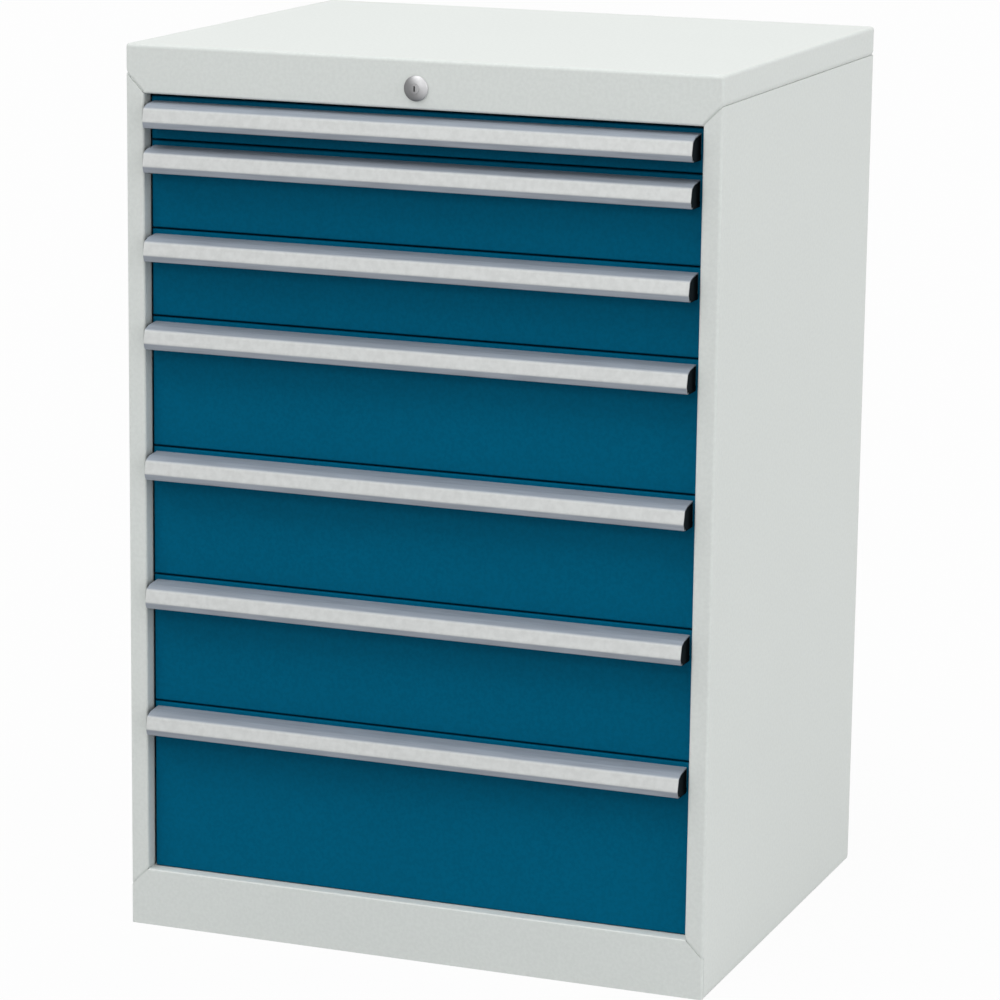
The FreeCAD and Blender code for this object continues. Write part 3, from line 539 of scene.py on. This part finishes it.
def polished_plate(name, colour):
    """Nickel plating with a trace of polishing marks. Its colour is painted lighter towards the
    upper right and darker towards the lower left: a painted highlight and painted shade of the lit
    studio's reflection.
    """
    graph = Graph(name)
    marks = graph.noise(scale=1600, detail=2)
    cloud = graph.noise(scale=180, detail=2)
    place = {"Vector": graph.place()}
    along = graph.node("ShaderNodeSeparateXYZ", {}, place, "X") - LOCK_CENTRE.x
    height = graph.node("ShaderNodeSeparateXYZ", {}, place, "Z") - LOCK_CENTRE.z
    # Painted highlight and shade: the colour grows lighter towards the lock's upper right and
    # darker towards its lower left, for a reflection of the lit studio.
    highlight_share = (along * 0.8 + height * 0.4).over(-0.45 * LOCK_RADIUS, 0.9 * LOCK_RADIUS)
    painted_shade_tone = graph.mix(cloud, shade(colour, 0.7), shade(colour, 0.8))
    clear = graph.mix(cloud, shade(colour, 2.05), shade(colour, 2.2))
    return graph.finish(
        Base_Color=graph.mix(highlight_share, painted_shade_tone, clear),
        Metallic=0.6,
        Roughness=marks * 0.06 + cloud * 0.06 + 0.45,
        Normal=graph.bump(marks, 0.00001, 0.3),
    )


def moulded_plastic(name, colour):
    """Moulded plastic with a fine spark-eroded grain."""
    graph = Graph(name)
    grain = graph.noise(scale=3000, detail=1)
    cloud = graph.noise(scale=90, detail=2)
    return graph.finish(
        Base_Color=graph.mix(cloud, shade(colour, 0.85), shade(colour, 1.15)),
        Roughness=grain * 0.15 + cloud * 0.08 + 0.5,
        Specular_IOR_Level=0.002,
        Normal=graph.bump(grain, 0.00003, 0.5),
    )


def finish_named(name):
    """The material of a finish, made the first time that it is asked for."""
    if name in bpy.data.materials:
        return bpy.data.materials[name]
    colours = bpy.context.scene.cabinet_finishes
    if name == "housing_powder":
        return powder_coat(name, colours.housing, contrast=0.04, gloss=0.2)
    if name == "drawer_powder":
        return powder_coat(name, colours.drawers, contrast=0.1, gloss=0.02)
    if name == "grip_aluminium":
        return grip_metal(name, colours.aluminium, colours.ledge, colours.band)
    if name == "cap_moulding":
        return moulded_plastic(name, colours.caps)
    if name == "zinc_plating":
        return zinc_plate(name, colours.zinc)
    if name == "lock_plating":
        return polished_plate(name, colours.chrome)
    if name == "guide_moulding":
        return moulded_plastic(name, colours.guides)
    raise ValueError(f"there is no finish named {name}")


def smooth_copy(node, body, slot_name, material_name):
    """A copy of a node's mesh, merged and shaded smooth over its bends, that stands for it."""
    doubles = 0.002 * MM
    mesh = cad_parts[node].data.copy()
    mesh.name = node + "_sheet"
    mesh.materials.clear()
    work = bmesh.new()
    work.from_mesh(mesh)
    bmesh.ops.remove_doubles(work, verts=work.verts, dist=doubles)
    work.to_mesh(mesh)
    work.free()
    mesh.shade_smooth()
    mesh.set_sharp_from_angle(angle=math.radians(40))
    piece = add_object(mesh.name, mesh)
    weights = piece.modifiers.new("flat faces stay flat", "WEIGHTED_NORMAL")
    weights.keep_sharp = True
    return settle(piece, body, slot_name, [finish_named(material_name)], node)


def dress_nodes(names, material_name):
    """Give nodes that keep their own mesh a finish."""
    for name in names:
        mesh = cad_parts[name].data
        mesh.materials.clear()
        mesh.materials.append(finish_named(material_name))


# Pieces


class CABINET_OT_side_panels(bpy.types.Operator):
    """Folded side panels with the mitred front flange"""

    bl_idname = "cabinet.side_panels"
    bl_label = "Side panels"

    def execute(self, context):
        sizes = context.scene.cabinet_sizes
        for side, name in ((1, "right"), (-1, "left")):
            points, faces = self.panel(sizes)
            points[:, 0] *= side
            piece = make_object(f"side_panel_{name}_sheet", points, faces)
            node = f"side_panel_{name}"
            settle(piece, "housing", "housing_paint", [finish_named("housing_powder")], node)
        return {"FINISHED"}

    def panel(self, sizes):
        """The folded section in plan carried upwards, between heights that vary along it.

        In plan the skin runs from the return beside the drawers round the front flange, along
        the side and round the rear flange. On the front flange both ends follow the mitre at
        45 degrees: the height changes by as much as the distance from the opening."""
        wall, seam = sizes.sheet, sizes.seam
        past_bend = 1.25 * FLAT_RELIEF
        notch = FRONT_Y + sizes.housing_bend + past_bend
        corners = [
            (OPENING_HALF, FRONT_Y + sizes.flange_return), (OPENING_HALF, FRONT_Y),
            (HALF_WIDTH, FRONT_Y), (HALF_WIDTH, notch), (HALF_WIDTH, notch + HAIR),
            (HALF_WIDTH, BACK_Y), (OPENING_HALF, BACK_Y),
        ]
        radii = [0, sizes.opening_bend, sizes.housing_bend, 0, 0, sizes.housing_bend, 0]
        outer, normals = rounded_route(corners, radii, closed=False)
        x, y = outer.T
        in_front = y <= notch
        beside = np.clip(x - OPENING_HALF, 0, FLANGE)
        at_opening = in_front | ((x < OPENING_HALF + wall) & (y < 0))
        low = np.where(at_opening, OPENING_FOOT - beside - seam / 2, PANEL_LOW.z)
        # The return beside the drawers stands on the base. The mitre starts past its bend.
        low = np.where(at_opening & (beside < MM), OPENING_FOOT, low)
        high = np.where(at_opening, OPENING_TOP + beside - seam, PANEL_HIGH.z)
        high = np.minimum(high, PANEL_HIGH.z)
        flat = np.ones(len(x))
        curl, lip = sizes.seam_curl, sizes.seam_lip
        foot, head = curled(sizes.foot_depth, curl), curled(lip, lip)
        rows = [(flat * inset, low + curl - advance) for inset, advance in foot[::-1]]
        rows += [(flat * 0, low + curl + FLAT_RELIEF), (flat * 0, high - lip - FLAT_RELIEF)]
        rows += [(flat * inset, high - lip + advance) for inset, advance in head]
        inset = np.array([row[0] for row in rows])
        height = np.array([row[1] for row in rows])
        skin = outer[None] - inset[..., None] * normals[None]
        lining = np.broadcast_to((outer - wall * normals)[None], skin.shape)
        plan = np.concatenate([skin, lining[:, ::-1]], axis=1)
        levels = np.concatenate([height, height[:, ::-1]], axis=1)
        points = np.concatenate([plan, levels[..., None]], axis=2).reshape(-1, 3)
        columns = plan.shape[1]
        faces = list(quads(len(rows), columns, wrap=True))
        half = np.arange(columns // 2 - 1)
        ribbon = np.stack([half, columns - 1 - half, columns - 2 - half, half + 1], axis=1)
        faces += list(ribbon)
        faces += list(ribbon[:, ::-1] + (len(rows) - 1) * columns)
        return points, faces


class CABINET_OT_top_cover(bpy.types.Operator):
    """Top cover with its fascia and mitred ears"""

    bl_idname = "cabinet.top_cover"
    bl_label = "Top cover"

    def execute(self, context):
        sizes = context.scene.cabinet_sizes
        inner = OPENING_HALF - sizes.seam
        half_front = (inner, inner + HAIR, OPENING_HALF, HALF_WIDTH)
        corners = [(-x, FRONT_Y) for x in half_front[::-1]] + [(x, FRONT_Y) for x in half_front]
        corners += [(HALF_WIDTH, BACK_Y), (-HALF_WIDTH, BACK_Y)]
        bend = sizes.housing_bend
        radii = [bend] + [0] * 6 + [bend] * 3
        outline, normals = rounded_route(corners, radii, closed=True)
        x, y = outline.T
        tall = HOOD_HIGH.z - OPENING_TOP
        beside = np.clip(np.abs(x) - OPENING_HALF, 0, FLANGE)
        at_front = y < FRONT_Y + bend + FLAT_RELIEF / 2
        depth = np.where(at_front, tall - beside, tall - FLANGE)
        lipped = at_front & (np.abs(x) < inner + HAIR / 2)
        reach = np.where(lipped, sizes.flange_return, sizes.sheet)
        inward = np.where(lipped, sizes.opening_bend, sizes.seam_depth)
        rise = np.where(lipped, sizes.opening_bend, sizes.seam_curl)
        # The rings of the upper bend stay inside the radius of the corners that they go round.
        spare = 0.1 * MM
        across = bend - FLAT_RELIEF - spare
        plane, down, faces = folded_pan(
            outline, normals, sizes.sheet, (across, sizes.hood_bend), depth, (inward, rise), reach)
        points = np.column_stack([plane, HOOD_HIGH.z - down])
        piece = make_object("top_cover_sheet", points, faces)
        settle(piece, "housing", "housing_paint", [finish_named("housing_powder")], "top_cover")
        return {"FINISHED"}


class CABINET_OT_inner_frame(bpy.types.Operator):
    """Base, back panel, uprights and fixed runners"""

    bl_idname = "cabinet.inner_frame"
    bl_label = "Base, back and uprights"

    def execute(self, context):
        for node in ("base_pan", "back_panel"):
            smooth_copy(node, "housing", "housing_paint", "housing_powder")
        steel = ["front_uprights", "rear_uprights", "fixed_runners_left", "fixed_runners_right"]
        dress_nodes(steel, "zinc_plating")
        return {"FINISHED"}


class CABINET_OT_drawer_fronts(bpy.types.Operator):
    """Folded drawer fronts with soft edges and lips at the back"""

    bl_idname = "cabinet.drawer_fronts"
    bl_label = "Drawer fronts"

    def execute(self, context):
        sizes = context.scene.cabinet_sizes
        bend = (sizes.front_bend, sizes.front_bend)
        for n in DRAWERS:
            low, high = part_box(f"drawer_front_{n}")
            corners = [(low.x, low.z), (high.x, low.z), (high.x, high.z), (low.x, high.z)]
            outline, normals = rounded_route(corners, [0] * 4, closed=True)
            flat = np.ones(len(outline))
            lip_bend = flat * 1.6 * MM
            plane, down, faces = folded_pan(
                outline, normals, sizes.front_sheet, bend, flat * (high.y - low.y),
                (lip_bend, lip_bend), flat * sizes.front_lip)
            points = np.column_stack([plane[:, 0], low.y + down, plane[:, 1]])
            piece = make_object(f"drawer_front_{n}_sheet", points, faces)
            settle(piece, f"drawer_{n}", "drawer_paint", [finish_named("drawer_powder")],
                   f"drawer_front_{n}")
        return {"FINISHED"}


class CABINET_OT_drawer_boxes(bpy.types.Operator):
    """Drawer boxes and the runner members that move"""

    bl_idname = "cabinet.drawer_boxes"
    bl_label = "Drawer boxes and runners"

    def execute(self, context):
        for n in DRAWERS:
            dress_nodes([f"drawer_box_{n}"], "housing_powder")
            dress_nodes([f"drawer_runners_{n}", f"middle_runners_{n}"], "zinc_plating")
        return {"FINISHED"}


class CABINET_OT_handles(bpy.types.Operator):
    """Extruded grip handles, whose face has brushing marks and a colour painted lighter as a
    painted highlight, and the plugs in their ends
    """

    bl_idname = "cabinet.handles"
    bl_label = "Handles and end caps"

    def execute(self, context):
        sizes = context.scene.cabinet_sizes
        for n in DRAWERS:
            self.grip(n, sizes)
            self.caps(n, sizes)
        return {"FINISHED"}

    def section(self, low, high):
        """Corners of the grip's section as (forward, down), from the top of the web.

        Outside they run over the shoulder and down the leaning face to the lower edge."""
        depth, height = high.y - low.y, high.z - low.z
        shoulder, slope, lean, chin, foot = 20 * MM, 1.8 * MM, 3.5 * MM, 7.4 * MM, 3 * MM
        return [(0, 0), (shoulder, slope), (depth - lean, 3 * slope), (depth, height - chin),
                (depth - foot, height)]

    def grip(self, n, sizes):
        """The section carried along X. The shares of the face and the top are kept per point."""
        low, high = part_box(f"handle_{n}")
        wall = sizes.handle_wall
        outside = self.section(low, high)
        _, shoulder, crest, face_end, foot = outside
        curl = foot[0] - GRIP_LIP
        inside = [
            (curl, foot[1]), (curl, foot[1] - wall), (foot[0] - wall, foot[1] - wall),
            (face_end[0] - wall, face_end[1]), (crest[0] - wall, crest[1] + wall),
            (shoulder[0], shoulder[1] + wall), (wall, wall), (wall, GRIP_WEB), (0, GRIP_WEB),
        ]
        outer_radii = [0, 14 * MM, 4 * MM, 7 * MM, 2.4 * MM]
        inner_radii = [0, 0, MM, 3 * MM, MM, 0, MM, 0, 0]
        route, _ = rounded_route(
            outside + inside, outer_radii + inner_radii, closed=True, steps=8)
        forward, down = route.T
        lower_edge = np.flatnonzero(np.abs(route - inside[0]).sum(1) < HAIR)[-1]
        outer = np.arange(len(route)) <= lower_edge
        below_crest = over(down, crest[1] - 1.2 * MM, crest[1] + 2.2 * MM)
        above_chin = 1 - over(down, face_end[1] - 0.8 * MM, face_end[1] + 0.9 * MM)
        shares = {
            "face_share": below_crest * above_chin * outer,
            "top_share": (1 - below_crest) * outer,
        }
        outline = np.column_stack([high.y - forward, high.z - down])
        points, faces = extruded(outline, (low.x, high.x))
        piece = make_object(f"handle_{n}_profile", points, faces)
        for name, values in shares.items():
            kept = piece.data.attributes.new(name, "FLOAT", "POINT")
            kept.data.foreach_set("value", np.tile(values, 2))
        settle(piece, f"drawer_{n}", "handle_aluminium", [finish_named("grip_aluminium")],
               f"handle_{n}")

    def caps(self, n, sizes):
        """Plugs inside the grip's section, whose outer edge is rounded by shrinking rows.

        At angle t of the rounding the inset is r * (1 - cos t), and the row lies
        r * (1 - sin t) behind the end."""
        low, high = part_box(f"handle_{n}")
        play = 0.1 * MM
        wall = sizes.handle_wall + play
        _, shoulder, crest, face_end, foot = self.section(low, high)
        curl, web = foot[0] - GRIP_LIP - play, GRIP_WEB + play
        corners = [
            (wall, wall), (shoulder[0], shoulder[1] + wall), (crest[0] - wall, crest[1] + wall),
            (face_end[0] - wall, face_end[1]), (foot[0] - wall, foot[1] - wall),
            (curl, foot[1] - wall), (curl, foot[1]), (0, foot[1]), (0, web), (wall, web),
        ]
        radii = [0.6 * MM, 0, 3 * MM, 3 * MM, 0, 0, 0.4 * MM, 0.4 * MM, 0, 0]
        route, normals = rounded_route(corners, radii, closed=True)
        sine, cosine = quarter(3)
        edge, reach = sizes.cap_round, 8 * MM
        inset = np.concatenate([[0], edge * (1 - cosine), [edge + FLAT_RELIEF]])
        out = np.concatenate([[0], reach - edge * (1 - sine), [reach]])
        for side, name in ((1, "right"), (-1, "left")):
            rows = route[None] + inset[:, None, None] * normals[None]
            along = np.repeat(side * (high.x - reach + out), len(route))
            points = np.column_stack(
                [along, high.y - rows[..., 0].reshape(-1), high.z - rows[..., 1].reshape(-1)])
            faces = closed_grid(len(out), len(route))
            piece = make_object(f"end_cap_{n}_{name}", points, faces, math.radians(40))
            settle(piece, f"drawer_{n}", "cap_plastic", [finish_named("cap_moulding")],
                   f"end_caps_{n}")


class CABINET_OT_lock(bpy.types.Operator):
    """Lock with its domed head, plug, shaft and locking bar"""

    bl_idname = "cabinet.lock"
    bl_label = "Lock and locking bar"

    def execute(self, context):
        self.head()
        dress_nodes(["lock_plug"], "lock_plating")
        dress_nodes(["lock_nut", "lock_shaft", "shaft_bracket", "locking_bar"], "zinc_plating")
        dress_nodes(["bar_guides"], "guide_moulding")
        return {"FINISHED"}

    def head(self):
        """A profile of radius and depth turned about the lock's axis.

        The dome is the end of an ellipse, cut where its half width is k of the whole, which is
        DOME_CUT. At the share t of the radius, its height is
        (sqrt(1 - k * k * t * t) - sqrt(1 - k * k)) over (1 - sqrt(1 - k * k)) of the rise. Its
        outer rim and the edge of the plug's bore have a small chamfer."""
        plug_low, plug_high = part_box("lock_plug")
        play, bore_edge, rim_edge = 0.05 * MM, 0.12 * MM, 0.2 * MM
        seat, brim, barrel, segments = 0.2 * MM, 1.3 * MM, 9.5 * MM, 96
        bore = (plug_high.x - plug_low.x) / 2 + play
        foot = FRONT_Y - seat
        away = np.linspace(LOCK_RADIUS, bore + bore_edge, 24)
        level = np.sqrt(1 - DOME_CUT ** 2)
        height = (np.sqrt(1 - (DOME_CUT * away / LOCK_RADIUS) ** 2) - level) / (1 - level)
        crown = foot - brim - (foot - brim - LOCK_LOW.y) * height
        reach = np.concatenate(
            [[barrel, LOCK_RADIUS - rim_edge, LOCK_RADIUS], away, [bore, bore, barrel]])
        depth = np.concatenate([[foot, foot, foot - rim_edge], crown,
                                [crown[-1] + bore_edge, LOCK_HIGH.y, LOCK_HIGH.y]])
        angle = np.linspace(0, 2 * math.pi, segments + 1)[:-1]
        x = LOCK_CENTRE.x + reach[:, None] * np.cos(angle)
        z = LOCK_CENTRE.z + reach[:, None] * np.sin(angle)
        y = np.broadcast_to(depth[:, None], x.shape)
        points = np.stack([x, y, z], axis=2).reshape(-1, 3)
        rows, columns = x.shape
        faces = list(quads(rows, columns, wrap=True))
        first, last = np.arange(columns), np.arange(columns) + (rows - 1) * columns
        closing = np.stack([last, np.roll(last, -1), np.roll(first, -1), first], axis=1)
        faces += list(closing)
        piece = make_object("lock_head", points, faces)
        settle(piece, "housing", "lock_chrome", [finish_named("lock_plating")], "lock_housing")


def white_rays(graph, camera_share):
    """1 for rays of reflections and through glass, camera_share for the camera's, 0 for light."""
    rays = graph.tree.nodes.new("ShaderNodeLightPath")
    seen = Signal(graph, rays.outputs["Is Camera Ray"]) * camera_share
    mirrored = Signal(graph, rays.outputs["Is Glossy Ray"])
    return seen + mirrored + Signal(graph, rays.outputs["Is Transmission Ray"])


class CABINET_OT_stage(bpy.types.Operator):
    """Floor, sky, lamps and camera"""

    bl_idname = "cabinet.stage"
    bl_label = "Stage"

    def execute(self, context):
        settings = context.scene.cabinet_stage
        self.floor()
        self.sky(settings)
        self.sun("front_lamp", settings.front_lamp, settings.lamp_spread)
        self.sun("side_lamp", settings.side_lamp, settings.lamp_spread)
        self.spot(settings)
        self.camera(context, settings)
        context.scene.view_settings.view_transform = "Standard"
        return {"FINISHED"}

    def floor(self):
        """A wide pale floor that keeps the shadow and is white in reflections."""
        reach, level = 40, -0.1 * MM
        sides = ((-1, -1), (1, -1), (1, 1), (-1, 1))
        mesh = bpy.data.meshes.new("floor")
        mesh.from_pydata([(x * reach, y * reach, level) for x, y in sides], [], [(0, 1, 2, 3)])
        plane = add_object("floor", mesh)
        graph = Graph("pale_floor")
        graph.finish(Base_Color=(0.5, 0.505, 0.51, 1), Roughness=0.9)
        matt = Signal(graph, graph.shader.outputs[0])
        white = graph.node("ShaderNodeEmission", {}, {"Strength": 1.0})
        shares = {0: white_rays(graph, camera_share=0.96), 1: matt, 2: white}
        mixed = graph.node("ShaderNodeMixShader", {}, shares)
        graph.feed(graph.tree.nodes["Material Output"].inputs["Surface"], mixed)
        mesh.materials.append(graph.material)

    def sky(self, settings):
        """An even sky that the camera and reflections see as white."""
        world = bpy.data.worlds.new("studio")
        bpy.context.scene.world = world
        world.use_nodes = True
        graph = Graph.of(world.node_tree)
        white = white_rays(graph, camera_share=1)
        strength = white * (1 - settings.sky_light) + settings.sky_light
        background = graph.tree.nodes["Background"]
        background.inputs["Color"].default_value = (1, 1, 1, 1)
        graph.feed(background.inputs["Strength"], strength)

    def sun(self, name, towards, spread):
        """A far lamp so wide that every shadow fades. A white face square to it gains as much
        light as the vector is long: strength over pi."""
        towards = Vector(towards)
        light = bpy.data.lights.new(name, "SUN")
        light.energy = towards.length * math.pi
        light.angle = spread
        lamp = add_object(name, light)
        lamp.rotation_euler = towards.to_track_quat("Z", "Y").to_euler()

    def spot(self, settings):
        """A small soft box in front of the cabinet that shines on the fascia and the lock."""
        place, target = Vector((0.32, -2.7, 1.8)), Vector((0, FRONT_Y, 1))
        light = bpy.data.lights.new("spot", "AREA")
        light.size = 0.6
        light.energy = settings.spot_power
        lamp = add_object("spot", light)
        lamp.location = place
        lamp.rotation_euler = (target - place).to_track_quat("-Z", "Y").to_euler()
        lamp.visible_camera = False

    def camera(self, context, settings):
        """The camera, from its place, azimuth, elevation and roll."""
        azimuth, elevation = settings.camera_azimuth, settings.camera_elevation
        forward = Vector((math.sin(azimuth) * math.cos(elevation),
                          math.cos(azimuth) * math.cos(elevation), math.sin(elevation)))
        right = forward.cross(Vector((0, 0, 1))).normalized()
        up = right.cross(forward)
        cosine, sine = math.cos(settings.camera_roll), math.sin(settings.camera_roll)
        across = right * cosine + up * sine
        upright = up * cosine - right * sine
        data = bpy.data.cameras.new("camera")
        data.sensor_width = 36
        data.lens = settings.camera_lens
        data.clip_end = 100
        camera = add_object("camera", data)
        turn = Matrix((across, upright, -forward)).transposed().to_4x4()
        camera.matrix_world = Matrix.Translation(Vector(settings.camera_place)) @ turn
        context.scene.camera = camera


PIECE_OPERATORS = (
    CABINET_OT_side_panels,
    CABINET_OT_top_cover,
    CABINET_OT_inner_frame,
    CABINET_OT_drawer_fronts,
    CABINET_OT_drawer_boxes,
    CABINET_OT_handles,
    CABINET_OT_lock,
    CABINET_OT_stage,
)


class CABINET_PT_tools(bpy.types.Panel):
    """The cabinet's pieces and settings"""

    bl_label = "Drawer cabinet"
    bl_idname = "CABINET_PT_tools"
    bl_space_type = "VIEW_3D"
    bl_region_type = "UI"
    bl_category = "Cabinet"

    def draw(self, context):
        for operator in PIECE_OPERATORS:
            self.layout.operator(operator.bl_idname)
        scene = context.scene
        for group in (scene.cabinet_sizes, scene.cabinet_finishes, scene.cabinet_stage):
            box = self.layout.box()
            for name in group.__annotations__:
                box.prop(group, name)


SETTINGS = {
    "cabinet_sizes": CabinetSizes,
    "cabinet_finishes": CabinetFinishes,
    "cabinet_stage": CabinetStage,
}


def register():
    for name, group in SETTINGS.items():
        bpy.utils.register_class(group)
        setattr(bpy.types.Scene, name, bpy.props.PointerProperty(type=group))
    for operator in PIECE_OPERATORS:
        bpy.utils.register_class(operator)
    bpy.utils.register_class(CABINET_PT_tools)


def unregister():
    bpy.utils.unregister_class(CABINET_PT_tools)
    for operator in reversed(PIECE_OPERATORS):
        bpy.utils.unregister_class(operator)
    for name, group in SETTINGS.items():
        delattr(bpy.types.Scene, name)
        bpy.utils.unregister_class(group)


def main():
    """Make every piece."""
    register()
    bpy.ops.cabinet.side_panels()
    bpy.ops.cabinet.top_cover()
    bpy.ops.cabinet.inner_frame()
    bpy.ops.cabinet.drawer_fronts()
    bpy.ops.cabinet.drawer_boxes()
    bpy.ops.cabinet.handles()
    bpy.ops.cabinet.lock()
    bpy.ops.cabinet.stage()


if __name__ == "__main__":
    main()
